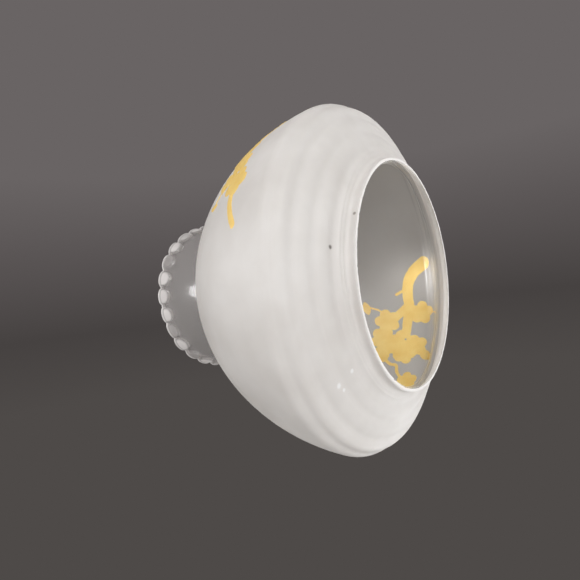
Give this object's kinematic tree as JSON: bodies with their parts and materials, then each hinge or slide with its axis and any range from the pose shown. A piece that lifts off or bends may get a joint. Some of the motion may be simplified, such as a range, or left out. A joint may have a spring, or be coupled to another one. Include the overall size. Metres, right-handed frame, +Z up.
{
  "type": "oil lamp shade",
  "caption": "Bell-shaped satin glass shade for an oil lamp, with a clear crimped collar, a short ground fitter rim and gilt blossom sprays.",
  "frame": {"origin": "centre of the seating plane of the ground fitter rim, at the bottom", "axes": "+Z up the axis of the shade, from the fitter rim to the crimped collar; -Y is the side turned to the viewer, with the two gilt sprays centred at 112 degrees and at -45 degrees round from +X"},
  "size_m": [0.1538, 0.1542, 0.1213],
  "materials": {
    "satin_glass": "acid-etched satin outside, smooth inside, softly translucent",
    "clear_glass": "fire-polished, slightly hazy",
    "ground_glass": "flat-ground, with small chips along the edge",
    "fired_gold": "satin fired gilding with brush-laid relief"
  },
  "bodies": {
    "root": {"fitter_rim": "ground_glass", "satin_body": "satin_glass", "crimped_collar": "clear_glass", "gilt_branch_1": "fired_gold", "gilt_low_blossom_1": "fired_gold", "gilt_high_blossom_1": "fired_gold", "gilt_cluster_1": "fired_gold", "gilt_bud_1": "fired_gold", "gilt_branch_2": "fired_gold", "gilt_low_blossom_2": "fired_gold", "gilt_high_blossom_2": "fired_gold", "gilt_cluster_2": "fired_gold", "gilt_bud_2": "fired_gold"}
  },
  "joints": []
}
